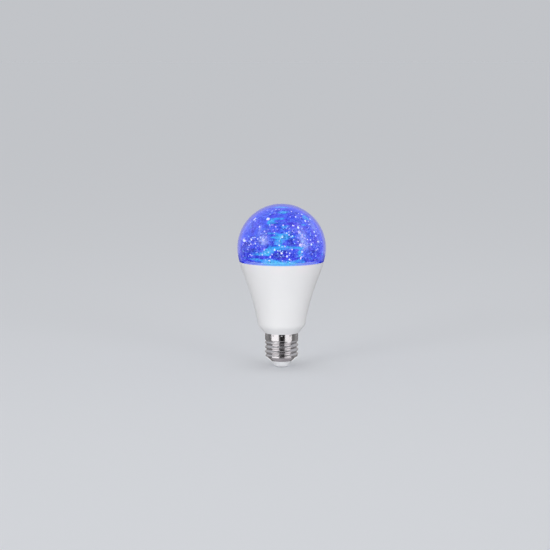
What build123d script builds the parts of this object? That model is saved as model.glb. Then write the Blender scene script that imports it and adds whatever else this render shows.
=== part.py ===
from build123d import *
import os
from math import atan2, ceil, cos, pi, radians, sin, sqrt, tan

# A colour changing LED bulb: screw cap, white housing, clear dome, sparkle liner and the electronics.
# Millimetres, +Z up the bulb's axis, origin at the centre of the end contact's face.

# General fits
slip = 0.1  # gap where a piece slides into another
air = 0.3  # gap between pieces that only lie near each other

# End contact and insulator
contact_head_d = 5.0
contact_head_height = 0.5
contact_edge_round = 0.15
contact_shank_d = 2.0
contact_tail = 0.5  # shank that stands out of the insulator, inside the cap
insulator_cone_height = 4.4
insulator_end_d = 9.6
insulator_end_round = 0.9
insulator_flange_d = 16.2
insulator_flange_height = 1.3
insulator_flange_taper = 0.6

# Screw shell, rolled from sheet
cap_sheet = 0.3
cap_lip_d = 17.0  # where the lower cone turns in to its flat lip
cap_mouth_d = 14.8  # hole in that lip
cap_cone_height = 3.6
thread_root_d = 24.1
thread_depth = 1.1
thread_pitch = 3.629
thread_length = 13.7
thread_fade_turns = 0.6
thread_start_angle = 200
sections_per_turn = 10
collar_step = 0.15  # from the thread's crest in to the collar
collar_height = 4.9
crimp_count = 12
crimp_ball_r = 0.9
crimp_depth = 0.25
crimp_below_lip = 1.2

# Housing
wall = 2.0
lip_overhang = 0.55
flare_height = 3.95
flare_angle = 40.6
shoulder_round = 7.9
body_start_angle = 9.5
flank_angle = 21.6
body_end_angle = 13.5
body_height = 55.9  # from the lip up to the seam
flank_height_share = 0.745  # where the flank leans out most, from the shoulder to the seam
flank_radius_share = 0.719
mouth_wall = 2.0
mouth_depth = 3.4
neck_length = 14.0
neck_wall = 1.4
rail_width = 4.0
rail_depth = 1.8
rail_floor = 1.5

# Clear dome and its seal
dome_d = 69.0
seam_step = 1.6  # from the globe's widest ring in to the seam with the housing
dome_wall = 1.4
spigot_wall = 1.3
seal_height = 1.0

# Sparkle liner, a thin embossed inner dome
liner_gap = 0.6
liner_sheet = 0.7
liner_facet = 5.0
liner_emboss = 0.2
liner_foot_gap = 0.6
liner_pole_points = 6
liner_ring_phase = 12.9898  # phases of the emboss pattern, in radians
liner_point_phase = 78.233

# Heat sink cup
sink_sheet = 1.0
sink_top_drop = 4.4  # from the seam down to the cup's top face
sink_skirt = 32.0

# LED board
led_board_thickness = 1.4
led_board_margin = 0.1  # beyond the liner's foot
led_size = 5.0
led_height = 1.6
led_window_d = 4.0
led_window_depth = 0.5
outer_led_count = 12
outer_led_edge = 9.5  # from the board's edge in to the outer ring
inner_led_count = 6
inner_led_r = 10.5
board_screw_count = 3
board_screw_edge = 3.8  # from the board's edge in to the screws
screw_d = 2.5
screw_head_d = 4.6
screw_head_height = 1.5
screw_reach = 4.6
screw_cross_length = 2.6
screw_cross_width = 0.6
screw_cross_depth = 0.8

# Pin header between the two boards
header_pin_count = 4
header_pitch = 2.54
header_pin_side = 0.64
header_strip_side = 2.54
header_strip_drop = 1.2  # from the driver board's top edge down to the strip
socket_height = 3.2
socket_depth = 3.4
socket_cover = 0.6
socket_end_margin = 0.6  # beyond the row of pins, to rest on the board beside its slot
header_pin_gap = 0.4  # from the end of a pin to the socket's cover

# Driver board
driver_thickness = 1.2
driver_tail_inset = 1.25  # from the neck's bore to the edge of the board's tail
driver_width = 26.0
driver_head_room = 3.0  # under the heat sink's top

# Driver components: places are heights above the board's shoulder
input_can_d = 8.0
input_can_length = 12.0
input_can_place = 7.0
output_can_d = 6.3
output_can_length = 11.0
output_can_place = 29.0
output_can_x = 5.0
can_edge_round = 0.5
can_groove_depth = 0.35
can_groove_place = 1.8
core_width = 12.0
core_height = 10.0
core_depth = 9.0
core_limb = 2.2
core_centre_limb = 3.0
core_place = 18.0
coil_overhang = 1.5
coil_round = 1.0
chip_thickness = 1.5
chip_standoff = 0.1
chip_depth = 3.9
chip_leg_width = 0.42
chip_leg_reach = 1.05
chip_leg_thickness = 0.2
chip_leg_pitch = 1.27
rectifier_length = 4.7
rectifier_place = 4.5
supply_chip_length = 4.9
supply_chip_place = 14.0
controller_length = 8.7
controller_place = 25.0
transistor_length = 2.9
transistor_depth = 1.3
transistor_leg_offset = 0.95
transistor_place = 35.0
transistor_spacing = 6.0
fuse_d = 3.0
fuse_length = 7.0
fuse_end_round = 0.5
fuse_lead_d = 0.6
fuse_lead_span = 11.0
fuse_place = 10.0  # above the board's bottom edge

# Wires
wire_d = 1.0
wire_rail_gap = 1.0  # between a wire on the board and the neck's rail
wire_start = 6.0  # above the board's bottom edge
wire_bend_r = 1.6
live_wire_drop = 4.5  # from the board's bottom edge to the live wire's cross run
live_wire_landing = 3.0  # straight run down on to the contact
neutral_wire_climb = 6.0  # up the outside of the neck

# Heights that follow from the sizes above
insulator_bottom = contact_head_height
cap_bottom = insulator_bottom + insulator_cone_height
insulator_top = cap_bottom + cap_sheet + insulator_flange_height
contact_top = insulator_top + contact_tail
thread_bottom = cap_bottom + cap_cone_height
collar_bottom = thread_bottom + thread_length
lip_z = collar_bottom + collar_height
neck_bottom = lip_z - neck_length
seam_z = lip_z + body_height
ledge_z = seam_z - mouth_depth
spigot_end = ledge_z + seal_height
jog_top = seam_z + dome_wall
sink_top = seam_z - sink_top_drop
led_board_top = sink_top + led_board_thickness

# Radii that follow
thread_major_d = thread_root_d + 2 * thread_depth
thread_mean_r = (thread_major_d + thread_root_d) / 4
thread_lean = (thread_major_d - thread_root_d) / 4
collar_d = thread_major_d - 2 * collar_step
collar_r = collar_d / 2
lip_r = collar_r + lip_overhang
neck_r = thread_root_d / 2 - cap_sheet - air
bore_r = neck_r - neck_wall
dome_r = dome_d / 2
seam_d = dome_d - 2 * seam_step
seam_r = seam_d / 2
mouth_r = seam_r - mouth_wall
spigot_r = mouth_r - slip
spigot_inner_r = spigot_r - spigot_wall
dome_centre_z = seam_z + sqrt(dome_r**2 - seam_r**2)
liner_r = dome_r - dome_wall - liner_gap
liner_foot_r = spigot_inner_r - liner_foot_gap
led_board_r = liner_foot_r + led_board_margin
outer_led_r = led_board_r - outer_led_edge
board_screw_r = led_board_r - board_screw_edge

# The driver board's place
driver_face = driver_thickness / 2
driver_bottom = neck_bottom + rail_floor
driver_top = sink_top - sink_sheet - driver_head_room
driver_tail_half = bore_r - driver_tail_inset
slot_end = driver_tail_half + slip
rail_start = slot_end - rail_depth
header_y = driver_face + header_strip_side / 2
header_length = header_pin_count * header_pitch
wire_x = rail_start - wire_rail_gap - wire_d / 2
wire_y = -driver_face - wire_d / 2
neutral_r = neck_r - wire_d / 2 + slip
neutral_x = sqrt(neutral_r**2 - wire_y**2)


def turned(outline):
    """Solid made by turning a closed outline, drawn as radius and height, about the axis."""
    return revolve(Plane.XZ * make_face(outline), Axis.Z)


def disc(radius, low, high):
    """Plain round slab between two heights."""
    return extrude(Pos(0, 0, low) * Circle(radius), high - low)


def tube(outer_r, inner_r, low, high):
    """Plain ring between two heights."""
    return disc(outer_r, low, high) - disc(inner_r, low, high)


def block(x_span, y_span, z_span):
    """Box given by its low and high limits on each axis."""
    spans = (x_span, y_span, z_span)
    size = [high - low for low, high in spans]
    centre = [(low + high) / 2 for low, high in spans]
    return Pos(*centre) * Box(*size)


def around(count, radius, height, start=0.0):
    """Places spread evenly on a circle about the axis."""
    return [Rot(0, 0, start + 360 * index / count) * Pos(radius, 0, height) for index in range(count)]


def lowest_circle(shape):
    """The lowest round edge of a solid."""
    return shape.edges().filter_by(GeomType.CIRCLE).sort_by(Axis.Z)[0]


# Screw shell


def thread_core(inset):
    """Solid bounded by the rolled thread, less an inset.

    Each level section of a single-start round thread is a circle whose centre turns about the axis
    once in each pitch. The centre comes back to the axis at both ends, so the thread fades out.
    """
    turns = thread_length / thread_pitch
    steps = ceil(turns * sections_per_turn)
    sections = []
    for step in range(steps + 1):
        turn = turns * step / steps
        ramp = min(1, turn / thread_fade_turns, (turns - turn) / thread_fade_turns)
        fade = ramp * ramp * (3 - 2 * ramp)
        end_r = thread_mean_r if turn < turns / 2 else collar_r
        radius = end_r + (thread_mean_r - end_r) * fade - inset
        angle = radians(thread_start_angle) + 2 * pi * turn
        lean = thread_lean * fade
        height = thread_bottom + turn * thread_pitch
        sections.append(Pos(lean * cos(angle), lean * sin(angle), height) * Circle(radius))
    return loft(sections)


def cap_core(inset):
    """Solid bounded by the whole shell, less an inset: lower cone, thread and collar."""
    slope = (thread_mean_r - cap_lip_d / 2) / cap_cone_height
    level_inset = inset * sqrt(1 + slope**2)
    low_z = cap_bottom + inset
    cone = turned(
        Polyline(
            (0, low_z),
            (cap_lip_d / 2 + slope * inset - level_inset, low_z),
            (thread_mean_r - level_inset, thread_bottom),
            (0, thread_bottom),
            close=True,
        )
    )
    return cone + thread_core(inset) + disc(collar_r - inset, collar_bottom, lip_z)


def crimp_places():
    """Centres of the punch marks that hold the shell on the housing's neck."""
    return around(crimp_count, collar_r + crimp_ball_r - crimp_depth, lip_z - crimp_below_lip)


def screw_shell():
    shell = cap_core(0) - cap_core(cap_sheet)
    shell -= disc(cap_mouth_d / 2, cap_bottom, cap_bottom + cap_sheet)
    inside = disc(collar_r - cap_sheet / 2, collar_bottom, lip_z)
    for place in crimp_places():
        shell += place * Sphere(crimp_ball_r + cap_sheet) & inside
    for place in crimp_places():
        shell -= place * Sphere(crimp_ball_r)
    return shell


# Insulator and end contact


def cap_insulator():
    """Snapped plug: its cone carries on from the shell's cone, and a flange holds the shell's lip."""
    plug_r = cap_mouth_d / 2 - slip
    flange_r = insulator_flange_d / 2
    lip_top = cap_bottom + cap_sheet
    body = turned(
        Polyline(
            (0, insulator_bottom),
            (insulator_end_d / 2, insulator_bottom),
            (cap_lip_d / 2, cap_bottom),
            (plug_r, cap_bottom),
            (plug_r, lip_top),
            (flange_r, lip_top),
            (flange_r - insulator_flange_taper, insulator_top),
            (0, insulator_top),
            close=True,
        )
    )
    body = fillet(lowest_circle(body), insulator_end_round)
    return body - disc(contact_shank_d / 2 + slip / 2, insulator_bottom, insulator_top)


def contact_pin():
    """Flat-headed pin pressed up through the insulator to meet the live wire."""
    head = disc(contact_head_d / 2, 0, contact_head_height)
    head = fillet(lowest_circle(head), contact_edge_round)
    return head + disc(contact_shank_d / 2, contact_head_height, contact_top)


# Housing


def flank(inset):
    """Points of the housing's outline, less an inset: chamfer, rounded shoulder, flank and rim."""
    low_angle, high_angle = radians(flare_angle), radians(body_start_angle)
    centre_r = lip_r + flare_height * tan(low_angle) - shoulder_round * cos(low_angle)
    centre_z = lip_z + flare_height + shoulder_round * sin(low_angle)

    def on_shoulder(angle, radius):
        return (centre_r + radius * cos(angle), centre_z - radius * sin(angle))

    start_r, start_z = on_shoulder(high_angle, shoulder_round)
    middle_r = start_r + flank_radius_share * (seam_r - start_r)
    middle_z = start_z + flank_height_share * (seam_z - start_z)
    lean, end_lean = radians(flank_angle), radians(body_end_angle)
    return {
        "chamfer": on_shoulder(low_angle, shoulder_round - inset),
        "round": on_shoulder((low_angle + high_angle) / 2, shoulder_round - inset),
        "start": on_shoulder(high_angle, shoulder_round - inset),
        "middle": (middle_r - inset * cos(lean), middle_z + inset * sin(lean)),
        "rim": (seam_r - inset * cos(end_lean), seam_z + inset * sin(end_lean)),
    }


def body_core(inset):
    """Solid bounded by the housing's outline, less an inset. An inset cone runs on down to the axis."""
    points = flank(inset)
    chamfer, rim = points["chamfer"], points["rim"]
    if inset:
        foot = [(0, chamfer[1] - chamfer[0] / tan(radians(flare_angle)))]
    else:
        foot = [(0, lip_z), (lip_r, lip_z)]
    leans = (body_start_angle, flank_angle, body_end_angle)
    ways = [(sin(radians(lean)), cos(radians(lean))) for lean in leans]
    outline = [
        Polyline((0, rim[1]), *foot, chamfer),
        ThreePointArc(chamfer, points["round"], points["start"]),
        Spline(points["start"], points["middle"], rim, tangents=ways),
        Line(rim, (0, rim[1])),
    ]
    return turned(outline)


def rail(side):
    """Slotted rail in the neck that holds one edge of the driver board's tail."""
    half_slot = driver_face + slip
    root = (bore_r + neck_r) / 2
    top = lip_z - air
    solid = block((rail_start, root), (-rail_width / 2, rail_width / 2), (neck_bottom, top))
    solid -= block((rail_start, slot_end), (-half_slot, half_slot), (driver_bottom, top))
    return solid if side > 0 else mirror(solid, Plane.YZ)


def neutral_groove():
    """Groove up the outside of the neck that holds the neutral wire next to the shell."""
    half_width = wire_d / 2 + slip
    top = neck_bottom + neutral_wire_climb + air
    return block(
        (neutral_x - half_width, neck_r + wire_d),
        (wire_y - half_width, wire_y + half_width),
        (neck_bottom, top),
    )


def housing():
    """Moulded shell with a stepped mouth for the dome and a hollow neck for the screw shell."""
    body = body_core(0)
    body -= body_core(wall) & disc(dome_d, 0, ledge_z)
    body -= disc(mouth_r, ledge_z, seam_z)
    collar_neck = disc(collar_r - cap_sheet - slip, collar_bottom + air, lip_z)
    for place in crimp_places():
        collar_neck -= place * Sphere(crimp_ball_r + cap_sheet + slip)
    body += collar_neck + disc(neck_r, neck_bottom, lip_z)
    body -= disc(bore_r, neck_bottom, lip_z + flare_height)
    body += rail(1) + rail(-1)
    return body - neutral_groove()


# Clear dome and its seal


def clear_dome():
    """Blown globe with a rim that jogs in to a spigot inside the housing's mouth."""
    inner_r = dome_r - dome_wall
    jog_r = sqrt(inner_r**2 - (dome_centre_z - jog_top) ** 2)
    top, inner_top = (0, dome_centre_z + dome_r), (0, dome_centre_z + inner_r)

    def halfway(radius, low_r, low_z):
        angle = (atan2(low_z - dome_centre_z, low_r) + pi / 2) / 2
        return (radius * cos(angle), dome_centre_z + radius * sin(angle))

    outline = [
        ThreePointArc((seam_r, seam_z), halfway(dome_r, seam_r, seam_z), top),
        Line(top, inner_top),
        ThreePointArc(inner_top, halfway(inner_r, jog_r, jog_top), (jog_r, jog_top)),
        Polyline(
            (jog_r, jog_top),
            (spigot_inner_r, jog_top),
            (spigot_inner_r, spigot_end),
            (spigot_r, spigot_end),
            (spigot_r, seam_z),
            (seam_r, seam_z),
        ),
    ]
    return turned(outline)


def dome_seal():
    """Silicone ring on the housing's ledge, under the dome's spigot."""
    return tube(mouth_r - slip / 2, spigot_inner_r, ledge_z, spigot_end)


# Sparkle liner


def liner_rings():
    """Rings of points from the liner's foot up: radius, height and number of points in each."""
    step_z = jog_top + liner_gap
    low_angle = atan2(step_z - dome_centre_z, sqrt(liner_r**2 - (step_z - dome_centre_z) ** 2))
    rows = ceil(liner_r * (pi / 2 - low_angle) / liner_facet)
    rings = [(liner_foot_r, led_board_top), (liner_foot_r, step_z)]
    for row in range(rows):
        angle = low_angle + (pi / 2 - low_angle) * row / rows
        rings.append((liner_r * cos(angle), dome_centre_z + liner_r * sin(angle)))
    return [(r, z, max(liner_pole_points, round(2 * pi * r / liner_facet))) for r, z in rings]


def scatter(ring, index):
    """Repeatable spread of values from 0 to 1, one for each point of the liner."""
    return (1 + sin(liner_ring_phase * (ring + 1) + liner_point_phase * (index + 1))) / 2


def liner_skin(inset):
    """Points of one face of the liner, ring by ring, with its pole as the last ring."""
    skin = []
    for number, (radius, height, count) in enumerate(liner_rings()):
        ring = []
        for index in range(count):
            angle = 2 * pi * (index + number % 2 / 2) / count
            if number < 2:
                point_r, point_z = radius - inset, height
            else:
                share = 1 - (inset + liner_emboss * scatter(number, index)) / liner_r
                point_r = radius * share
                point_z = dome_centre_z + (height - dome_centre_z) * share
            ring.append((point_r * cos(angle), point_r * sin(angle), point_z))
        skin.append(ring)
    return skin + [[(0, 0, dome_centre_z + liner_r - inset)]]


def stitch(low, high):
    """Triangles between two rings of points, each step taken on the ring that is behind."""
    i = j = 0
    while i < len(low) or (j < len(high) and len(high) > 1):
        if j >= len(high) or len(high) == 1 or (i < len(low) and (i + 1) * len(high) <= (j + 1) * len(low)):
            yield low[i % len(low)], low[(i + 1) % len(low)], high[j % len(high)]
            i += 1
        else:
            yield low[i % len(low)], high[(j + 1) % len(high)], high[j % len(high)]
            j += 1


def sparkle_liner():
    """Thin inner dome of flat triangular facets, each tilted a little, to break the light into glints."""
    outer, inner = liner_skin(0), liner_skin(liner_sheet)
    triangles = list(stitch(inner[0], outer[0]))
    for skin in (outer, inner):
        for low, high in zip(skin, skin[1:]):
            triangles += stitch(low, high)
    return Solid(Shell([Face(Wire.make_polygon(corners)) for corners in triangles]))


# Heat sink cup and LED board


def header_opening(low, high):
    """Slot that lets the header's pins through a plate."""
    half_length = header_length / 2 + air
    half_width = header_strip_side / 2
    return block((-half_length, half_length), (header_y - half_width, header_y + half_width), (low, high))


def screw_holes(low, high):
    """Holes for the board screws."""
    places = around(board_screw_count, board_screw_r, low, start=90)
    return [place * extrude(Circle(screw_d / 2 + slip), high - low) for place in places]


def heat_sink_cup():
    """Pressed aluminium cup, upside down: its flat top carries the LED board, its skirt fits the housing."""
    skirt_bottom = sink_top - sink_skirt
    plate_bottom = sink_top - sink_sheet
    cup = body_core(wall + slip) & disc(dome_d, skirt_bottom, sink_top)
    cup -= body_core(wall + slip + sink_sheet) & disc(dome_d, skirt_bottom, plate_bottom)
    return cup - header_opening(plate_bottom, sink_top) - screw_holes(plate_bottom, sink_top)


def led_board():
    board = disc(led_board_r, sink_top, led_board_top)
    return board - header_opening(sink_top, led_board_top) - screw_holes(sink_top, led_board_top)


def led_places(height):
    """Places of the LEDs on the board, at a height."""
    outer = around(outer_led_count, outer_led_r, height, start=180 / outer_led_count)
    inner = around(inner_led_count, inner_led_r, height)
    return outer + inner


def led_packages():
    """White LED bodies, each with a round well in its top."""
    package = Pos(0, 0, led_height / 2) * Box(led_size, led_size, led_height)
    package -= disc(led_window_d / 2, led_height - led_window_depth, led_height)
    return Compound([place * package.solid() for place in led_places(led_board_top)])


def led_windows():
    """Clear fill of the LED wells."""
    window = disc(led_window_d / 2, 0, led_window_depth).solid()
    return Compound([place * window for place in led_places(led_board_top + led_height - led_window_depth)])


def board_screws():
    """Cross-headed screws that hold the LED board on the heat sink."""
    head = disc(screw_head_d / 2, 0, screw_head_height)
    head = fillet(head.edges().filter_by(GeomType.CIRCLE).sort_by(Axis.Z)[-1], screw_head_height / 2)
    recess_low = screw_head_height - screw_cross_depth
    for long_side, short_side in (("x", "y"), ("y", "x")):
        half = {long_side: screw_cross_length / 2, short_side: screw_cross_width / 2}
        head -= block((-half["x"], half["x"]), (-half["y"], half["y"]), (recess_low, screw_head_height))
    screw = head + disc(screw_d / 2, -screw_reach, 0)
    places = around(board_screw_count, board_screw_r, led_board_top, start=90)
    return Compound([place * screw.solid() for place in places])


# Pin header and socket


def header_pins(side, low, high):
    """Square pins in a row, of a given side, between two heights."""
    pins = []
    for number in range(header_pin_count):
        x = (number - (header_pin_count - 1) / 2) * header_pitch
        spans = [(centre - side / 2, centre + side / 2) for centre in (x, header_y)]
        pins.append(block(*spans, (low, high)))
    return pins


strip_top = driver_top - header_strip_drop
strip_bottom = strip_top - header_strip_side
pin_top = led_board_top + socket_height - socket_cover - header_pin_gap


def pin_header():
    """Moulded strip on the face of the driver board."""
    strip = block(
        (-header_length / 2, header_length / 2),
        (driver_face, driver_face + header_strip_side),
        (strip_bottom, strip_top),
    )
    return strip - header_pins(header_pin_side, strip_bottom, strip_top)


def link_pins():
    """Pins that carry the colours' currents up to the LED board."""
    pins = header_pins(header_pin_side, strip_bottom, pin_top)
    return Compound([pin.solid() for pin in pins])


def led_socket():
    """Socket on the LED board, over the slot, that takes the pins from below."""
    half_length = header_length / 2 + socket_end_margin
    body = block(
        (-half_length, half_length),
        (header_y - socket_depth / 2, header_y + socket_depth / 2),
        (led_board_top, led_board_top + socket_height),
    )
    hole_top = led_board_top + socket_height - socket_cover
    return body - header_pins(header_pin_side + 2 * slip, led_board_top, hole_top)


# Driver board and its components

driver_shoulder = flank(wall)["chamfer"][1] + air


def driver_board():
    """Upright board: a narrow tail in the neck's rails, and a wide body in the housing."""
    half = driver_width / 2
    outline = Polyline(
        (-driver_tail_half, driver_bottom),
        (driver_tail_half, driver_bottom),
        (driver_tail_half, driver_shoulder),
        (half, driver_shoulder),
        (half, driver_top),
        (-half, driver_top),
        (-half, driver_shoulder),
        (-driver_tail_half, driver_shoulder),
        close=True,
    )
    return extrude(Plane.XZ * make_face(outline), driver_face, both=True)


def capacitor_can(diameter, length, x, place):
    """Round can that stands on the board, with a rolled groove near its foot and a rounded top."""
    radius = diameter / 2
    can = disc(radius, 0, length)
    can = fillet(can.edges().filter_by(GeomType.CIRCLE).sort_by(Axis.Z)[-1], can_edge_round)
    can -= Pos(0, 0, can_groove_place) * Torus(radius, can_groove_depth)
    return Pos(x, driver_face, driver_shoulder + place) * Rot(-90, 0, 0) * can


def input_capacitor():
    return capacitor_can(input_can_d, input_can_length, 0, input_can_place)


def output_capacitor():
    return capacitor_can(output_can_d, output_can_length, output_can_x, output_can_place)


core_z = driver_shoulder + core_place
core_front = driver_face + coil_overhang


def transformer_core():
    """Ferrite frame with two windows, one each side of its centre limb."""
    half_width, half_height = core_width / 2, core_height / 2
    depth = (core_front, core_front + core_depth)
    core = block((-half_width, half_width), depth, (core_z - half_height, core_z + half_height))
    window_z = (core_z - half_height + core_limb, core_z + half_height - core_limb)
    core -= block((core_centre_limb / 2, half_width - core_limb), depth, window_z)
    return core - block((core_limb - half_width, -core_centre_limb / 2), depth, window_z)


def transformer_coil():
    """Wound bobbin round the centre limb, which stands on the board and carries the core."""
    half_width = core_width / 2 - core_limb - slip
    half_height = core_height / 2 - core_limb - slip
    depth = core_depth + 2 * coil_overhang
    coil = block(
        (-half_width, half_width),
        (driver_face, driver_face + depth),
        (core_z - half_height, core_z + half_height),
    )
    coil = fillet(coil.edges().filter_by(Axis.Z), coil_round)
    limb = core_centre_limb / 2 + slip
    return coil - block(
        (-limb, limb),
        (core_front - slip, core_front + core_depth + slip),
        (core_z - half_height, core_z + half_height),
    )


def chip(body_depth, body_length, legs, x, place):
    """Moulded chip on the rear of the board. Legs are (side, offset along the board) pairs."""
    face = -driver_face
    z = driver_shoulder + place
    top = face - chip_standoff - chip_thickness
    half = body_depth / 2
    body = block(
        (x - half, x + half),
        (top, face - chip_standoff),
        (z - body_length / 2, z + body_length / 2),
    )
    knee = face - chip_thickness / 2
    bend = half + chip_leg_reach / 2
    end = half + chip_leg_reach
    leg = Polyline(
        (half, knee),
        (bend, knee),
        (bend, face - chip_leg_thickness),
        (end, face - chip_leg_thickness),
        (end, face),
        (bend - chip_leg_thickness, face),
        (bend - chip_leg_thickness, knee + chip_leg_thickness),
        (half, knee + chip_leg_thickness),
        close=True,
    )
    foot = extrude(make_face(leg), chip_leg_width / 2, both=True)
    for side, offset in legs:
        sided = foot if side > 0 else mirror(foot, Plane.YZ)
        body += Pos(x, 0, z + offset) * sided
    return body


def leg_rows(count, pitch):
    """Legs down both sides of a chip."""
    offsets = [(number - (count - 1) / 2) * pitch for number in range(count)]
    return [(side, offset) for side in (-1, 1) for offset in offsets]


def bridge_rectifier():
    return chip(chip_depth, rectifier_length, leg_rows(2, 2 * chip_leg_pitch), 0, rectifier_place)


def supply_chip():
    return chip(chip_depth, supply_chip_length, leg_rows(4, chip_leg_pitch), 0, supply_chip_place)


def colour_controller():
    return chip(chip_depth, controller_length, leg_rows(7, chip_leg_pitch), 0, controller_place)


def colour_transistors():
    """Three small switches, one each for red, green and blue."""
    legs = [(-1, -transistor_leg_offset), (-1, transistor_leg_offset), (1, 0)]
    places = [transistor_spacing * step for step in (-1, 0, 1)]
    made = [chip(transistor_depth, transistor_length, legs, x, transistor_place) for x in places]
    return Compound([solid for part in made for solid in part.solids()])


def along(path, diameter):
    """Round rod along a path."""
    section = Plane(origin=path @ 0, z_dir=path % 0) * Circle(diameter / 2)
    return sweep(section, path=path)


def fuse_resistor():
    """Round body with one lead at each end, both bent down on to the board."""
    z = driver_bottom + fuse_place
    y = -driver_face - fuse_d / 2 - air
    ends = (z - fuse_lead_span / 2, z + fuse_lead_span / 2)
    route = [(0, -driver_face, ends[0]), (0, y, ends[0]), (0, y, ends[1]), (0, -driver_face, ends[1])]
    leads = along(FilletPolyline(*route, radius=fuse_lead_d), fuse_lead_d)
    body = Pos(0, y, z) * Cylinder(fuse_d / 2, fuse_length)
    return leads + fillet(body.edges().filter_by(GeomType.CIRCLE), fuse_end_round)


# Wires


def live_wire():
    """From the rear of the driver board down on to the end contact."""
    cross = driver_bottom - live_wire_drop
    landing = contact_top + live_wire_landing
    route = [
        (-wire_x, wire_y, driver_bottom + wire_start),
        (-wire_x, wire_y, cross),
        (0, 0, landing),
        (0, 0, contact_top),
    ]
    return along(FilletPolyline(*route, radius=wire_bend_r), wire_d)


def neutral_wire():
    """From the rear of the driver board, round the neck's lower edge and up its groove."""
    cross = neck_bottom - wire_bend_r
    route = [
        (wire_x, wire_y, driver_bottom + wire_start),
        (wire_x, wire_y, cross),
        (neutral_x, wire_y, cross),
        (neutral_x, wire_y, neck_bottom + neutral_wire_climb),
    ]
    return along(FilletPolyline(*route, radius=wire_bend_r), wire_d)


pieces = (
    contact_pin,
    cap_insulator,
    screw_shell,
    housing,
    clear_dome,
    dome_seal,
    sparkle_liner,
    heat_sink_cup,
    led_board,
    led_packages,
    led_windows,
    board_screws,
    led_socket,
    link_pins,
    pin_header,
    driver_board,
    input_capacitor,
    output_capacitor,
    transformer_core,
    transformer_coil,
    bridge_rectifier,
    supply_chip,
    colour_controller,
    colour_transistors,
    fuse_resistor,
    live_wire,
    neutral_wire,
)

os.makedirs("parts", exist_ok=True)
for piece in pieces:
    export_step(piece(), f"parts/{piece.__name__}.step")
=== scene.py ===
from math import cos, pi, radians, sin, sqrt

import bpy
import numpy as np
from bpy.props import FloatProperty, FloatVectorProperty, IntProperty, PointerProperty
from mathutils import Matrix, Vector


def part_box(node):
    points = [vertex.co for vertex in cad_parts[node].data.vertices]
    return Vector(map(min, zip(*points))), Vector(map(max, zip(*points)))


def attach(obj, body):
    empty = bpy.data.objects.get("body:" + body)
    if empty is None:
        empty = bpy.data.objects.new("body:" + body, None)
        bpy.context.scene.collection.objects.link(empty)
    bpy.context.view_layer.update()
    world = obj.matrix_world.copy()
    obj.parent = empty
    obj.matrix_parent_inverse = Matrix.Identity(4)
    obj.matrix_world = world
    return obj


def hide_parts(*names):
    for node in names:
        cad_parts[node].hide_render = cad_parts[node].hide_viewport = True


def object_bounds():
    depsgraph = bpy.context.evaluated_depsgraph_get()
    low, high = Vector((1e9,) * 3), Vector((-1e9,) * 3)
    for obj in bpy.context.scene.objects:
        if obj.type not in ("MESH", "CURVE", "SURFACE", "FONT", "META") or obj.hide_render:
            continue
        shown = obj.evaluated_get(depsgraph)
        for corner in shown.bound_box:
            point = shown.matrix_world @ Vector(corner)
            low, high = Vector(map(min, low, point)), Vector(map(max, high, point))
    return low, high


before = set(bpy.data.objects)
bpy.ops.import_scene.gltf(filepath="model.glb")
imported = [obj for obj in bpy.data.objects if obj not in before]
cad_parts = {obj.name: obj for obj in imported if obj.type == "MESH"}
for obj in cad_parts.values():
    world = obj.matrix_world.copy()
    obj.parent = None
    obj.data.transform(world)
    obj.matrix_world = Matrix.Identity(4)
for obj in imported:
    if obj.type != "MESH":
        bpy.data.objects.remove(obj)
cad_box = [list(corner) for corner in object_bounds()]

bl_info = {
    "name": "Colour changing LED bulb",
    "version": (1, 0, 0),
    "blender": (4, 5, 0),
    "location": "3D View > Sidebar > Bulb",
    "description": "Dresses a lit sparkle bulb with a clear globe, a white housing and a nickel cap",
    "category": "Object",
}

# Sizes read from the frame, in metres
MM = 0.001
globe_low, globe_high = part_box("clear_dome")
seam_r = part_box("housing")[1].x
seam_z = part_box("housing")[1].z
liner_low, liner_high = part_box("sparkle_liner")
globe_r = globe_high.x
globe_centre_z = globe_high.z - globe_r
liner_r = liner_high.z - globe_centre_z
bulb_top_z = cad_box[1][2]

# The camera's angle, which also places the patches of light that face it
CAMERA_ELEVATION = radians(7)

# Patches of light on the liner, placed as the camera sees them, in millimetres from the globe's
# centre: right, up, half width, half height, strength
CYAN_PATCHES = (
    (-0.8, 32.0, 3.4, 1.5, 1.0),
    (2.1, 27.5, 3.3, 1.3, 1.0),
    (1.1, 22.7, 4.3, 1.0, 0.4),
    (18.3, 24.1, 2.4, 2.2, 0.9),
    (-8.9, 20.3, 2.2, 1.7, 0.9),
    (16.9, 17.4, 1.9, 1.0, 0.5),
    (2.1, 15.0, 2.2, 2.6, 0.5),
    (-1.8, 4.5, 2.9, 2.6, 1.0),
    (1.1, 8.3, 5.7, 1.3, 0.7),
    (-5.6, 11.4, 3.8, 1.0, 0.6),
    (-8.9, -1.7, 2.9, 1.7, 1.0),
    (-12.3, -4.6, 2.4, 1.9, 1.0),
    (-18.0, -5.1, 3.3, 1.1, 0.8),
    (5.9, -0.3, 6.2, 1.2, 0.8),
    (-9.4, -10.3, 2.9, 1.3, 1.0),
    (-3.7, -11.3, 10.5, 1.1, 0.9),
    (3.0, -12.0, 4.3, 1.1, 1.0),
    (32.0, -5.1, 1.4, 2.4, 0.8),
    (14.5, -5.6, 1.9, 2.9, 0.5),
    (-18.0, -9.6, 4.8, 0.5, 0.3),
    (-1.0, -14.2, 12.0, 1.2, 1.0),
)
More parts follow.
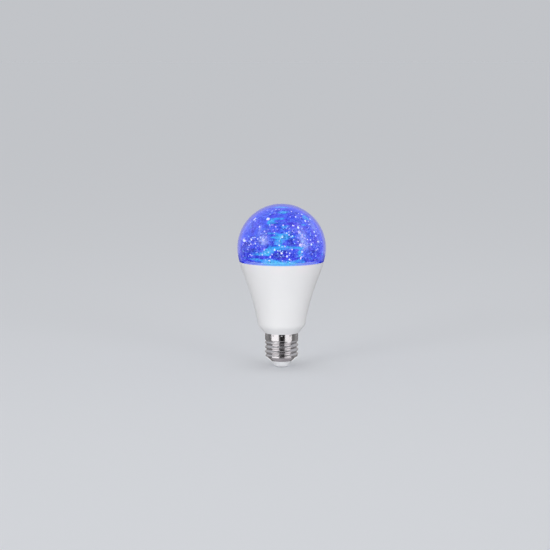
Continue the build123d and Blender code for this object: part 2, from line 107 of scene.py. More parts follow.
# Pale patches of painted reflection: the studio's lamps mirrored in the globe, painted into the liner's
# light
PAINTED_REFLECTION_PATCHES = (
    (-14.7, 6.9, 2.6, 3.3, 0.95),
    (-13.3, 4.0, 2.9, 1.4, 0.5),
    (16.4, 6.9, 2.4, 5.3, 1.0),
    (17.8, 1.1, 2.9, 1.9, 0.9),
    (24.5, 16.5, 2.4, 3.3, 0.7),
    (28.4, 4.9, 1.4, 1.1, 0.8),
    (-16.8, 14.5, 0.7, 2.4, 0.7),
    (-30.0, 13.6, 2.9, 6.2, 0.3),
    (-25.2, 16.9, 5.7, 2.9, 0.25),
)
# Dark patches of painted shade, where the liner's light darkens towards navy; the last two long thin rows
# are painted shadows low on the globe
PAINTED_SHADE_PATCHES = (
    (-31.0, -1.7, 1.9, 2.9, 1.0),
    (-27.6, 2.1, 2.9, 1.9, 0.9),
    (-23.8, -2.2, 4.3, 1.4, 0.8),
    (-29.0, -7.0, 3.8, 1.9, 0.8),
    (-22.8, 5.9, 2.9, 2.4, 0.7),
    (-1.8, -6.0, 3.3, 2.9, 1.0),
    (4.4, -2.7, 2.9, 1.4, 0.8),
    (7.8, 5.7, 2.9, 1.2, 0.9),
    (10.2, 2.1, 3.3, 0.7, 0.8),
    (4.4, 2.6, 4.3, 0.6, 0.7),
    (-6.6, 8.8, 3.3, 0.7, 0.7),
    (25.0, -4.6, 4.3, 2.4, 0.8),
    (20.2, -3.2, 1.9, 1.0, 0.7),
    (-4.2, 18.4, 1.9, 1.4, 0.4),
    (8.3, 12.6, 2.4, 1.9, 0.5),
    (-19.0, -9.3, 6.2, 0.6, 1.0),
    (23.6, -9.9, 6.2, 0.5, 1.0),
)
BUSY_PATCHES = (
    (2.1, 12.0, 8.0, 5.5, 0.06),
    (0.0, -6.0, 14.0, 3.4, 0.07),
    (21.0, 9.0, 6.0, 8.0, 0.04),
    (-24.0, 4.7, 4.5, 2.6, 0.18),
    (-21.8, 23.0, 3.5, 3.0, 0.08),
    (-14.7, 6.9, 3.0, 4.0, 0.08),
    (17.0, 5.0, 3.0, 6.0, 0.08),
)
GLINTS = (
    (-29.3, 5.6, 2.0, 0.8, 1.3),
    (-10.6, 22.2, 1.2, 1.0, 1.3),
    (-21.1, 22.3, 0.9, 1.2, 1.1),
    (-20.3, 20.8, 0.7, 0.8, 0.8),
    (-17.3, 16.2, 0.6, 0.8, 0.9),
    (-9.2, 15.7, 0.5, 0.6, 0.7),
    (-7.5, 28.4, 0.6, 1.0, 0.7),
    (1.1, 17.2, 0.6, 0.8, 1.0),
    (12.8, 15.5, 0.7, 0.9, 1.3),
    (18.3, 20.8, 0.8, 0.8, 1.2),
    (15.7, 26.0, 0.6, 0.9, 1.0),
    (10.9, 23.9, 0.6, 0.7, 1.0),
    (6.6, 23.9, 0.5, 0.6, 0.8),
    (7.6, 28.2, 0.7, 1.0, 0.7),
    (4.9, 22.2, 0.5, 0.5, 0.6),
    (22.4, 22.4, 0.9, 0.9, 0.9),
    (24.3, 23.4, 1.2, 1.0, 0.9),
    (21.2, 17.9, 0.7, 0.6, 0.8),
    (25.3, 12.4, 0.9, 0.7, 1.0),
    (22.6, 11.3, 0.6, 0.5, 0.8),
    (26.6, 9.3, 1.0, 0.8, 0.9),
    (28.4, 4.7, 1.9, 0.7, 0.8),
    (23.1, 2.3, 0.7, 0.6, 1.2),
    (14.4, 2.0, 0.8, 0.8, 1.2),
    (17.8, 9.3, 0.5, 0.5, 0.8),
    (15.2, 8.1, 0.5, 0.6, 0.7),
    (13.8, 11.2, 0.5, 0.5, 0.6),
    (6.1, 14.5, 0.4, 0.5, 0.8),
    (3.7, 11.0, 0.6, 0.6, 1.0),
    (5.6, 9.8, 0.5, 0.6, 1.0),
    (8.3, 8.8, 0.5, 0.6, 1.0),
    (0.4, 7.9, 0.7, 0.6, 1.0),
    (-3.7, 13.8, 0.5, 0.5, 0.7),
    (-5.6, 11.7, 0.6, 0.5, 0.8),
    (10.2, 6.4, 0.5, 0.5, 0.7),
    (-16.4, 7.6, 0.7, 0.7, 0.8),
    (-12.4, 7.8, 0.6, 0.6, 0.7),
    (-23.5, 6.2, 0.6, 0.9, 1.0),
    (-20.4, 2.8, 0.5, 0.5, 1.0),
    (-25.5, 1.9, 0.7, 0.5, 0.8),
    (-24.5, -5.6, 0.7, 0.5, 0.9),
    (-25.9, -1.7, 0.6, 0.4, 0.8),
    (-5.6, -2.0, 0.5, 0.8, 1.1),
    (-1.4, -2.6, 0.5, 0.8, 0.9),
    (0.3, 0.4, 0.5, 0.5, 0.8),
    (-0.1, -4.6, 0.7, 0.7, 1.1),
    (-8.9, -7.5, 0.5, 0.8, 1.0),
    (4.0, -7.0, 0.6, 0.8, 1.0),
    (6.1, -9.4, 0.6, 0.6, 1.1),
    (6.8, -4.6, 0.5, 0.5, 0.8),
    (14.7, -8.4, 0.5, 0.9, 1.1),
    (15.9, -3.4, 0.7, 0.6, 0.9),
    (15.0, -5.1, 0.5, 0.6, 0.8),
    (-9.7, -10.3, 0.7, 0.5, 1.1),
    (26.9, -1.7, 0.7, 0.6, 0.8),
    (21.2, -4.6, 0.5, 0.5, 0.7),
)

# Random patches on the side that faces away: how many, and the ends of half width, half height and strength
REAR_BUSY = (8, (4, 9), (3, 6), (0.04, 0.1))
REAR_GLINTS = (45, (0.5, 0.9), (0.5, 0.7), (0.7, 1.3))
REAR_CYAN = (13, (2, 7), (1, 3), (0.6, 1))
# Of these, the pale patches are painted reflection and the dark ones painted shade
REAR_PAINTED_REFLECTION = (5, (2, 5), (2, 5), (0.4, 0.8))
REAR_PAINTED_SHADE = (7, (3, 6), (1, 4), (0.5, 0.9))
# The lowest and the highest of them, as shares of the liner's radius above its centre
REAR_RISE = (-0.28, 0.9)

# How far a facet's centre strays, in facet widths, and how far the facet tilts over its width, in depths
FACET_STRAY = 0.35
FACET_TILT = 0.5

# Edges that bend by more than this stay sharp
GLOBE_CREASE = radians(30)
LINER_CREASE = radians(50)

# The liner's light: lumps or facets in a metre, and heights above the seam
CLOUD_SCALE = 70
PURPLE_SCALE = 150
BROAD_FACETS = 540
FINE_FACETS = 1180
STREAK_STRETCH = (110, 110, 620)
RIPPLE_STRETCH = (70, 70, 900)
VIOLET_RISE = 26 * MM
RIPPLE_LOW, RIPPLE_HIGH = 2.0 * MM, 24 * MM
FOOT_BAND_LOW, FOOT_BAND_HIGH = 1.2 * MM, 2.0 * MM

# The plain finishes: how dark their mottle, tarnish and tape overlaps are, and how far their gloss varies
MOTTLE_SHADE = 0.97
TARNISH_SHADE = 0.82
OVERLAP_SHADE = 0.8
PLASTIC_GLOSS = 0.04
METAL_GLOSS = 0.09


# Settings


def length(name, description, default):
    """A size in metres that the user may set."""
    return FloatProperty(name=name, description=description, default=default, min=0, unit="LENGTH")


def colour(name, description, default):
    """A linear colour that the user may set."""
    return FloatVectorProperty(
        name=name, description=description, default=default, min=0, max=1, subtype="COLOR"
    )


def level(name, description, default):
    """A plain number that the user may set."""
    return FloatProperty(name=name, description=description, default=default, min=0)


def whole_number(name, description, default, least=2):
    """A whole number that the user may set."""
    return IntProperty(name=name, description=description, default=default, min=least)


class GlobeSettings(bpy.types.PropertyGroup):
    """Sizes and looks of the clear globe."""

    wall: length("Wall", "Thickness of the globe's wall", 1.4 * MM)
    spigot_inset: length("Spigot inset", "From the seam in to the spigot", 2.1 * MM)
    spigot_wall: length("Spigot wall", "Thickness of the spigot", 1.3 * MM)
    seam_round: length("Seam round", "Softened edge at the seam", 0.25 * MM)
    rings: whole_number("Rings", "Rings of points on each face", 84)
    points: whole_number("Points", "Points in each ring", 256, 12)
    tint: colour("Tint", "Colour that light takes on deep in the wall", (0.1, 0.16, 0.92))
    tint_density: level("Tint density", "How soon light takes on the tint, in each metre", 320.0)
    glow: colour("Glow", "Light that the wall itself gives off", (0.008, 0.01, 0.09))


class LinerSettings(bpy.types.PropertyGroup):
    """Sizes and colours of the sparkle liner."""

    sheet: length("Sheet", "Thickness of the liner", 0.7 * MM)
    emboss: length("Emboss", "Depth of the facets", 0.2 * MM)
    foot_r: length("Foot radius", "Radius of the foot inside the spigot", 28.9 * MM)
    step_z: length("Step height", "Height of the step above the foot", seam_z + 2.0 * MM)
    facets: whole_number("Facets", "Number of facets", 2400, 50)
    rings: whole_number("Rings", "Rings of points on the outer face", 150)
    foot_rings: whole_number("Foot rings", "Rings of points on the foot", 8)
    inner_rings: whole_number("Inner rings", "Rings of points on the inner face", 37)
    points: whole_number("Points", "Points in each ring", 400, 12)
    stray_glints: level("Stray glints", "Share of fine facets that glint of themselves", 0.015)
    seed: whole_number("Seed", "Start of the random spread", 7, 0)
    strength: level("Strength", "Strength of the light", 1.45)
    body: colour("Body", "The sheet itself, unlit", (0.01, 0.012, 0.05))
    navy: colour("Navy", "Facets that lie in shade", (0.0, 0.0, 0.15))
    deep: colour("Deep blue", "Light low on the globe", (0.012, 0.012, 0.42))
    violet: colour("Violet blue", "Light over most of the globe", (0.042, 0.098, 0.54))
    periwinkle: colour("Periwinkle", "Lighter facets", (0.14, 0.23, 0.62))
    cyan: colour("Cyan", "Patches of cyan light", (0.02, 0.47, 0.58))
    pale_cyan: colour("Pale cyan", "The brightest of the cyan patches", (0.14, 0.7, 0.6))
    purple: colour("Purple", "Clouds of purple light", (0.1, 0.045, 0.5))
    # Painted reflection of the studio's lamps in the globe, as pale patches
    painted_reflection: colour("Haze", "Pale patches", (0.4, 0.48, 0.6))
    foot_lilac: colour("Foot lilac", "Light round the foot", (0.6, 0.7, 0.62))
    foot_cyan: colour("Foot cyan", "Light round the foot, where it is cyan", (0.25, 1.0, 0.65))
    glint: colour("Glint", "Brightest facets", (1.0, 1.0, 1.0))
    blush: colour("Blush", "Facets that glint pink", (0.9, 0.66, 0.98))
    mint: colour("Mint", "Facets that glint pale green", (0.55, 1.0, 0.9))


class FinishSettings(bpy.types.PropertyGroup):
    """Colours of the plain pieces."""

    housing: colour("Housing", "White of the moulded housing", (0.8, 0.795, 0.8))
    # Painted light of the globe on the housing, in faint blue and pink spots just under the seam
    painted_glow_reach: length("Tint reach", "How far the globe's light tints the housing", 9 * MM)
    painted_glow_share: level("Tint share", "How strong that tint is at the seam", 0.12)
    painted_glow_blue: colour("Blue tint", "Blue spots of that tint", (0.62, 0.75, 1.0))
    painted_glow_pink: colour("Pink tint", "Pink spots of that tint", (1.0, 0.68, 0.8))
    silicone: colour("Silicone", "Seal under the globe", (0.6, 0.62, 0.64))
    nickel: colour("Nickel", "Plated steel of the screw shell", (0.69, 0.665, 0.68))
    insulator: colour("Insulator", "Pale plastic under the shell", (0.85, 0.85, 0.865))
    aluminium: colour("Aluminium", "Heat sink", (0.78, 0.79, 0.8))
    steel: colour("Steel", "Screws of the LED board", (0.6, 0.6, 0.61))
    white_lacquer: colour("White lacquer", "LED board", (0.78, 0.78, 0.76))
    white_tracks: colour("White tracks", "Tracks under the white lacquer", (0.83, 0.83, 0.81))
    led_body: colour("LED body", "Body of each LED", (0.8, 0.8, 0.77))
    led_fill: colour("LED fill", "Clear fill of each LED", (0.55, 0.6, 0.75))
    black_plastic: colour("Black plastic", "Socket and pin header", (0.025, 0.025, 0.027))
    green_lacquer: colour("Green lacquer", "Driver board", (0.02, 0.16, 0.06))
    green_tracks: colour("Green tracks", "Tracks under the green lacquer", (0.05, 0.24, 0.1))
    can_sleeve: colour("Can sleeve", "Sleeve of a capacitor", (0.02, 0.022, 0.03))
    can_stripe: colour("Can stripe", "Stripe on that sleeve", (0.5, 0.5, 0.5))
    ferrite: colour("Ferrite", "Transformer's core", (0.05, 0.05, 0.052))
    coil_tape: colour("Coil tape", "Tape round the transformer's coil", (0.7, 0.5, 0.06))
    chip_plastic: colour("Chip plastic", "Chips and transistors", (0.02, 0.02, 0.022))
    resistor_paint: colour("Resistor paint", "Fuse resistor", (0.16, 0.3, 0.32))
    live_insulation: colour("Live insulation", "Wire to the end contact", (0.5, 0.02, 0.02))
    neutral_insulation: colour("Neutral insulation", "Wire to the screw shell", (0.75, 0.75, 0.73))


class StageSettings(bpy.types.PropertyGroup):
    """Camera, floor and light."""

    distance: length("Camera distance", "From the camera to the point it looks at", 1.4)
    aim_x: FloatProperty(
        name="Aim across", description="Where the camera looks", default=-5.15 * MM, unit="LENGTH"
    )
    aim_z: length("Aim height", "Height that the camera looks at", 72.2 * MM)
    lens: FloatProperty(name="Lens", description="Focal length", default=117.5, min=1, unit="CAMERA")
    sensor: FloatProperty(
        name="Sensor", description="Width of the camera's sensor", default=36, min=1, unit="CAMERA"
    )
    floor: colour("Floor", "Colour of the floor", (0.79, 0.81, 0.85))
    floor_half: length("Floor half width", "From the bulb to the floor's edge", 60.0)
    ambient: level("Ambient light", "Strength of the soft light from all round", 0.68)
    lamp_power: FloatProperty(
        name="Lamp power", description="Power of the first lamp", default=1.4, min=0, unit="POWER"
    )


# Meshes


def closed_round(name, rings, first_pole, last_pole):
    """Closed mesh over a grid of rings, from one pole on the axis to the other.

    Point j of ring i has the number i * count + j. Each quad joins a point, the one below it, and
    their neighbours round the ring, where the last neighbour is the first point. A fan of triangles
    joins the first ring to the first pole and the last ring to the last pole.
    """
    ring_count, count = rings.shape[:2]
    here = np.arange(ring_count * count).reshape(ring_count, count)
    beside = np.roll(here, -1, axis=1)
    quads = np.stack([here[:-1], here[1:], beside[1:], beside[:-1]], axis=-1).reshape(-1, 4)
    first = np.full(count, ring_count * count)
    first_fan = np.stack([first, here[0], beside[0]], axis=-1)
    last_fan = np.stack([first + 1, beside[-1], here[-1]], axis=-1)
    points = np.concatenate([rings.reshape(-1, 3), [first_pole, last_pole]])
    mesh = bpy.data.meshes.new(name)
    mesh.from_pydata(points.tolist(), [], quads.tolist() + first_fan.tolist() + last_fan.tolist())
    mesh.shade_smooth()
    return mesh


def turn(radius, height, count):
    """Profile turned about the axis: (r cos a, r sin a, z) for each profile point and angle a."""
    angle = 2 * pi * np.arange(count) / count
    flat = np.stack([np.cos(angle), np.sin(angle)], axis=-1)
    across = radius[:, None, None] * flat[None]
    up = np.broadcast_to(height[:, None, None], (len(height), count, 1))
    return np.concatenate([across, up], axis=-1)


def ball_arc(radius, low_z, count):
    """Arc of the globe's circle from near its pole down to a height: (R sin t, centre + R cos t)."""
    last = np.arccos((low_z - globe_centre_z) / radius)
    t = last * np.arange(1, count + 1) / count
    return radius * np.sin(t), globe_centre_z + radius * np.cos(t)


def add_piece(mesh, slot, *nodes):
    """Object for a new mesh, which rides on the bulb and stands for the CAD nodes named."""
    piece = bpy.data.objects.new(mesh.name, mesh)
    bpy.context.scene.collection.objects.link(piece)
    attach(piece, "root")
    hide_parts(*nodes)
    return piece


def globe_mesh(settings):
    """Clear globe: outer arc, softened seam, spigot, and the inner arc back up to the pole."""
    outer_r, outer_z = ball_arc(globe_r, seam_z + settings.seam_round, settings.rings)
    jog_z = seam_z + settings.wall
    inner_r, inner_z = ball_arc(globe_r - settings.wall, jog_z, settings.rings)
    spigot_r = seam_r - settings.spigot_inset
    bore_r = spigot_r - settings.spigot_wall
    edge_r = [seam_r - settings.seam_round, spigot_r, spigot_r, bore_r, bore_r]
    edge_z = [seam_z, seam_z, globe_low.z, globe_low.z, jog_z]
    radius = np.concatenate([outer_r, edge_r, inner_r[::-1]])
    height = np.concatenate([outer_z, edge_z, inner_z[::-1]])
    rings = turn(radius, height, settings.points)
    poles = (0, 0, globe_high.z), (0, 0, globe_high.z - settings.wall)
    mesh = closed_round("clear_globe", rings, *poles)
    mesh.set_sharp_from_angle(angle=GLOBE_CREASE)
    return mesh


# The liner's facets and patches of light


def seen_directions(places):
    """Unit directions from the globe's centre to places that are given as right and up to the camera.

    The depth towards the camera is the square root of R^2 - right^2 - up^2, and the three are turned
    by the camera's elevation into the bulb's own axes. R lies between the liner and the globe,
    because the globe's wall and the nearness of its front make the liner look a little larger.
    """
    seen_r = (liner_r + globe_r) / 2
    right, up = (np.array([place[:2] for place in places]) * MM / seen_r).T
    depth = np.sqrt(np.maximum(0.0, 1 - right**2 - up**2))
    c, s = cos(CAMERA_ELEVATION), sin(CAMERA_ELEVATION)
    found = np.stack([right, up * s - depth * c, up * c + depth * s], axis=-1)
    return found / np.linalg.norm(found, axis=1, keepdims=True)


def rear_patches(rng, count, half_widths, half_heights, strengths):
    """Random patches on the side that faces away from the camera: directions, and sizes with strength.

    Sizes and strength are drawn between the two ends of each pair.
    """
    azimuth = rng.uniform(0, pi, count)
    rise = rng.uniform(*REAR_RISE, count)
    level_r = np.sqrt(1 - rise**2)
    directions = np.stack([level_r * np.cos(azimuth), level_r * np.sin(azimuth), rise], axis=-1)
    sizes = [rng.uniform(*ends, count) for ends in (half_widths, half_heights, strengths)]
    return directions, np.stack(sizes, axis=-1)


def patch_field(directions, patches, rear):
    """Sum of soft patches at each direction: strength * exp(-(a/w)^2/2 - (b/h)^2/2).

    a and b are the distances from the patch's centre to the east and to the north, on the liner.
    """
    centres = np.concatenate([seen_directions(patches), rear[0]])
    sizes = np.concatenate([np.array([patch[2:] for patch in patches]), rear[1]])
    east = np.cross([0.0, 0.0, 1.0], centres)
    east /= np.linalg.norm(east, axis=1, keepdims=True)
    north = np.cross(centres, east)
    across = directions @ east.T * liner_r / MM / sizes[:, 0]
    along = directions @ north.T * liner_r / MM / sizes[:, 1]
    facing = directions @ centres.T > 0
    soft = sizes[:, 2] * np.exp(-(across**2 + along**2) / 2) * facing
    return np.minimum(1.0, soft.sum(axis=1))


def light_fields(rng, settings, directions):
    """Light at each direction: how likely it is to glint, how far it is cyan, and how much painted
    reflection and painted shade it carries.
    """
    busy = patch_field(directions, BUSY_PATCHES, rear_patches(rng, *REAR_BUSY))
    return {
        "spark": settings.stray_glints + busy,
        "glint": patch_field(directions, GLINTS, rear_patches(rng, *REAR_GLINTS)),
        "cyan": patch_field(directions, CYAN_PATCHES, rear_patches(rng, *REAR_CYAN)),
        # Pale patches of painted reflection
        "painted_reflection": patch_field(directions, PAINTED_REFLECTION_PATCHES, rear_patches(rng, *REAR_PAINTED_REFLECTION)),
        # Painted shade: how far the light darkens towards navy
        "deep": patch_field(directions, PAINTED_SHADE_PATCHES, rear_patches(rng, *REAR_PAINTED_SHADE)),
    }


def facet_width(count, low_rise):
    """Rough width of a facet on a ball of radius 1: the square root of 2 * (1 - lowest rise) / count."""
    return sqrt(2 * (1 - low_rise) / count)


def facet_centres(rng, count, low_rise):
    """Directions spread evenly over the liner by the golden angle, each moved a little at random."""
    number = np.arange(count)
    rise = 1 - (1 - low_rise) * (number + 0.5) / count
    azimuth = number * pi * (3 - sqrt(5))
    level_r = np.sqrt(1 - rise**2)
    spread = np.stack([level_r * np.cos(azimuth), level_r * np.sin(azimuth), rise], axis=-1)
    spread += rng.normal(0, FACET_STRAY * facet_width(count, low_rise), spread.shape)
    return spread / np.linalg.norm(spread, axis=1, keepdims=True)


def nearest_facets(directions, centres, block_count=40):
    """Number of the nearest facet to each direction, worked out in blocks to save memory."""
    blocks = np.array_split(directions, block_count)
    return np.concatenate([(block @ centres.T).argmax(axis=1) for block in blocks])


def facet_depths(rng, settings, directions):
    """Depth of the pressed face: emboss * (1/2 + slope . offset from the facet's centre).

    It is held between 0 and emboss. Each facet has a slope of its own, drawn at random.
    """
    low_rise = (settings.step_z - globe_centre_z) / liner_r
    centres = facet_centres(rng, settings.facets, low_rise)
    facet = nearest_facets(directions, centres)
    offset = directions - centres[facet]
    slope = rng.normal(0, FACET_TILT / facet_width(settings.facets, low_rise), centres.shape)
    return np.clip(1 / 2 + (slope[facet] * offset).sum(axis=1), 0, 1) * settings.emboss


def liner_rings(settings):
    """Liner before it is pressed: outer arc, straight foot, bore, and the inner arc back up to the pole."""
    outer_r, outer_z = ball_arc(liner_r, settings.step_z, settings.rings)
    inner_step = settings.step_z + settings.sheet
    inner_ball_r = liner_r - settings.sheet - settings.emboss
    inner_r, inner_z = ball_arc(inner_ball_r, inner_step, settings.inner_rings)
    bore_r = settings.foot_r - settings.sheet
    foot_r = np.full(settings.foot_rings, settings.foot_r)
    foot_z = np.linspace(settings.step_z, liner_low.z, settings.foot_rings)
    radius = np.concatenate([outer_r, foot_r, [bore_r, bore_r], inner_r[::-1]])
    height = np.concatenate([outer_z, foot_z, [liner_low.z, inner_step], inner_z[::-1]])
    return turn(radius, height, settings.points)


def liner_mesh(settings):
    """Sparkle liner: a ball whose outer face is pressed into tilted facets, on a straight foot.

    Each point of the outer face lies at liner radius - depth of its facet from the globe's centre. The
    outer face and the foot also carry the light of each point.
    """
    rng = np.random.default_rng(settings.seed)
    rings = liner_rings(settings)
    centre = np.array([0, 0, globe_centre_z])
    lit_rings = settings.rings + settings.foot_rings
    around_centre = rings[:lit_rings].reshape(-1, 3) - centre
    directions = around_centre / np.linalg.norm(around_centre, axis=1, keepdims=True)
    pressed_r = liner_r - facet_depths(rng, settings, directions)
    pressed = centre + directions * pressed_r[:, None]
    rings[: settings.rings] = pressed.reshape(lit_rings, settings.points, 3)[: settings.rings]

    poles = (0, 0, liner_high.z), (0, 0, liner_high.z - settings.sheet - settings.emboss)
    mesh = closed_round("sparkle_liner_lit", rings, *poles)
    mesh.set_sharp_from_angle(angle=LINER_CREASE)
    for name, values in light_fields(rng, settings, directions).items():
        whole = np.zeros(len(mesh.vertices), np.float32)
        whole[: len(values)] = values
        mesh.attributes.new(name, "FLOAT", "POINT").data.foreach_set("value", whole)
    return mesh


# Materials


class Nodes:
    """Short ways to add and link nodes in a tree."""

    def __init__(self, tree):
        self.tree = tree

    def join(self, socket, value):
        """Link a socket to another, or set its own value."""
        if isinstance(value, bpy.types.NodeSocket):
            self.tree.links.new(value, socket)
        elif hasattr(value, "__len__") and len(value) == 3 and socket.type == "RGBA":
            socket.default_value = (*value, 1)
        else:
            socket.default_value = value

    def add(self, kind, inputs=None, **settings):
        """New node with its settings, and its inputs by name or number."""
        made = self.tree.nodes.new(kind)
        for name, value in settings.items():
            setattr(made, name, value)
        for name, value in (inputs or {}).items():
            self.join(made.inputs[name], value)
        return made

    def span(self, value, low, high, to_low=0.0, to_high=1.0):
        """Carry a value from one range to another, smoothly, and hold it there."""
        inputs = {"Value": value, 1: low, 2: high, 3: to_low, 4: to_high}
        return self.add("ShaderNodeMapRange", inputs, interpolation_type="SMOOTHSTEP").outputs[0]

    def math(self, operation, a, b=0.0):
        """Plain arithmetic on two values, held between 0 and 1."""
        return self.add("ShaderNodeMath", {0: a, 1: b}, operation=operation, use_clamp=True).outputs[0]

    def mix(self, share, a, b):
        """Colour between a and b."""
        inputs = {0: share, 6: a, 7: b}
        return self.add("ShaderNodeMix", inputs, data_type="RGBA").outputs[2]


class Finish(Nodes):
    """One node material: a Principled shader, and the patterns that go before it."""

    def __init__(self, name, **sockets):
        self.material = bpy.data.materials.new(name)
        self.material.use_nodes = True
        super().__init__(self.material.node_tree)
        self.shader = self.tree.nodes["Principled BSDF"]
        self.coordinates = self.add("ShaderNodeTexCoord").outputs["Object"]
        self.set(**sockets)

    def set(self, **sockets):
        """Give the shader's sockets values or links. base_color stands for Base Color, and so on."""
        for name, value in sockets.items():
            self.join(self.shader.inputs[name.replace("_", " ").title().replace("Ior", "IOR")], value)

    def stretch(self, scale):
        """Object coordinates times a scale on each axis."""
        return self.add("ShaderNodeMapping", {"Vector": self.coordinates, "Scale": scale}).outputs[0]

    def noise(self, scale, detail=3.0, stretch=(1, 1, 1)):
        """Soft noise from 0 to 1, with a number of lumps in a metre."""
        inputs = {"Vector": self.stretch(stretch), "Scale": scale, "Detail": detail}
        return self.add("ShaderNodeTexNoise", inputs).outputs["Fac"]

    def cells(self, scale, output, stretch=(1, 1, 1)):
        """Voronoi cells, with a number of cells in a metre."""
        inputs = {"Vector": self.stretch(stretch), "Scale": scale}
        return self.add("ShaderNodeTexVoronoi", inputs).outputs[output]

    def facets(self, scale):
        """Three random numbers from 0 to 1 for each Voronoi cell."""
        drawn = self.cells(scale, "Color")
        return self.add("ShaderNodeSeparateColor", {0: drawn}).outputs

    def carried(self, name):
        """Value that the mesh carries at each point."""
        return self.add("ShaderNodeAttribute", attribute_name=name).outputs["Fac"]

    def height(self):
        """Height above the bulb's end, in metres."""
        return self.add("ShaderNodeSeparateXYZ", {0: self.coordinates}).outputs["Z"]

    def bump(self, relief, depth, strength=1.0):
        """Bend the shader's normal by a relief of a given depth in metres."""
        inputs = {"Height": relief, "Distance": depth, "Strength": strength}
        self.set(normal=self.add("ShaderNodeBump", inputs).outputs[0])


def shade(colour_value, share):
    """Colour times a share."""
    return tuple(channel * share for channel in colour_value)


def clear_plastic(settings):
    """Clear blown plastic, a little wavy: its wall tints the light inside it, and glows faintly."""
    finish = Finish(
        "clear_plastic",
        base_color=(1.0, 1.0, 1.0),
        roughness=0.0,
        ior=1.49,
        transmission_weight=1.0,
        emission_color=tuple(settings.glow),
        emission_strength=1.0,
    )
    tint = {"Color": tuple(settings.tint), "Density": settings.tint_density}
    volume = finish.add("ShaderNodeVolumeAbsorption", tint).outputs[0]
    finish.join(finish.tree.nodes["Material Output"].inputs["Volume"], volume)
    waves = finish.noise(scale=40, detail=2.0)
    finish.bump(waves, depth=0.02 * MM)
    return finish.material


def blue_light(finish, settings, waver):
    """Deep blue light that turns violet higher up, with purple clouds, painted reflections and painted
    shade.
    """
    clouds = finish.noise(CLOUD_SCALE, detail=4.0)
    rise = finish.span(finish.height(), seam_z, seam_z + VIOLET_RISE, to_low=-0.12, to_high=0.78)
    rise = finish.math("ADD", rise, finish.span(clouds, 0.3, 0.7, to_low=-0.15, to_high=0.3))
    light = finish.mix(rise, tuple(settings.deep), tuple(settings.violet))
    purple = finish.span(finish.noise(PURPLE_SCALE, detail=2.0), 0.48, 0.66, to_high=0.7)
    light = finish.mix(purple, light, tuple(settings.purple))
    # Pale patches of painted reflection
    light = finish.mix(finish.carried("painted_reflection"), light, tuple(settings.painted_reflection))
    # Painted shade: the dark patches of the mesh darken the light towards navy
    dark = finish.span(finish.math("ADD", finish.carried("deep"), waver), 0.3, 0.7, to_high=0.8)
    return finish.mix(dark, light, tuple(settings.navy))


def cyan_light(finish, settings, light, waver):
    """Patches of cyan, palest in their middles, under deep blue ripples that grow towards the seam."""
    cyan = finish.math("ADD", finish.carried("cyan"), waver)
    light = finish.mix(finish.span(cyan, 0.2, 0.65), light, tuple(settings.cyan))
    light = finish.mix(finish.span(cyan, 0.65, 1.0, to_high=0.7), light, tuple(settings.pale_cyan))
    low_z, high_z = seam_z + RIPPLE_LOW, seam_z + RIPPLE_HIGH
    near_seam = finish.span(finish.height(), low_z, high_z, to_low=0.75, to_high=0.2)
    ripples = finish.span(finish.noise(1, detail=3.0, stretch=RIPPLE_STRETCH), 0.5, 0.66)
    return finish.mix(finish.math("MULTIPLY", ripples, near_seam), light, tuple(settings.deep))


def facet_light(finish, settings, light, tones):
    """Facets that are each a little lighter or darker than the next."""
    for tone in tones:
        lighter = finish.span(tone, 0.6, 1.0, to_high=0.5)
        darker = finish.span(tone, 0.0, 0.35, to_low=0.5, to_high=0.0)
        light = finish.mix(lighter, light, tuple(settings.periwinkle))
        light = finish.mix(darker, light, tuple(settings.navy))
    return light


def foot_light(finish, settings, light):
    """Pale light round the foot, which is cyan where the patches reach it."""
    low_z, high_z = seam_z + FOOT_BAND_LOW, seam_z + FOOT_BAND_HIGH
    band = finish.span(finish.height(), low_z, high_z, to_low=0.9, to_high=0.0)
    pale = finish.mix(finish.carried("cyan"), tuple(settings.foot_lilac), tuple(settings.foot_cyan))
    return finish.mix(band, light, pale)


def glint_light(finish, settings, light, fine):
    """Facets that glint white, pink or mint: strongly where the mesh says so, and a few at random."""
    grain, pick, hue = fine
    stray = finish.span(finish.math("SUBTRACT", finish.carried("spark"), pick), 0.0, 0.01)
    stray = finish.math("MULTIPLY", stray, finish.span(grain, 0.0, 1.0, to_low=0.4))
    strong = finish.math("MULTIPLY", finish.carried("glint"), finish.span(grain, 0.0, 1.0, to_low=0.8))
    white = finish.mix(finish.span(hue, 0.7, 0.85), tuple(settings.glint), tuple(settings.blush))
    minty = finish.span(hue, 0.15, 0.3, to_low=1.0, to_high=0.0)
    white = finish.mix(minty, white, tuple(settings.mint))
    return finish.mix(finish.math("MAXIMUM", stray, finish.span(strong, 0.4, 0.7)), light, white)


def sparkle_plastic(settings):
    """Lit liner: blue and violet facets, streaked patches of cyan, pale painted reflections, painted shade,
    and glints.
    """
    finish = Finish(
        "sparkle_plastic",
        base_color=tuple(settings.body),
        roughness=0.2,
        specular_ior_level=0.25,
        emission_strength=settings.strength,
    )
    streaks = finish.noise(1, detail=3.0, stretch=STREAK_STRETCH)
    waver = finish.span(streaks, 0.3, 0.7, to_low=-0.35, to_high=0.35)
    broad, fine = finish.facets(BROAD_FACETS), finish.facets(FINE_FACETS)
    light = blue_light(finish, settings, waver)
    light = cyan_light(finish, settings, light, waver)
    light = facet_light(finish, settings, light, (broad[0], fine[0]))
    light = foot_light(finish, settings, light)
    light = glint_light(finish, settings, light, fine)
    finish.set(emission_color=light)
    return finish.material


def moulded_plastic(name, colour_value, roughness, grain=900.0, depth=0.01 * MM):
    """Moulded plastic: a faint mottle in its colour and gloss, and a fine spark-eroded grain."""
    finish = Finish(name)
    mottle = finish.noise(scale=60, detail=3.0)
    finish.set(
        base_color=finish.mix(mottle, shade(colour_value, MOTTLE_SHADE), tuple(colour_value)),
        roughness=finish.span(mottle, 0.2, 0.8, roughness - PLASTIC_GLOSS, roughness + PLASTIC_GLOSS),
    )
    finish.bump(finish.noise(grain, detail=2.0), depth, strength=0.4)
    return finish


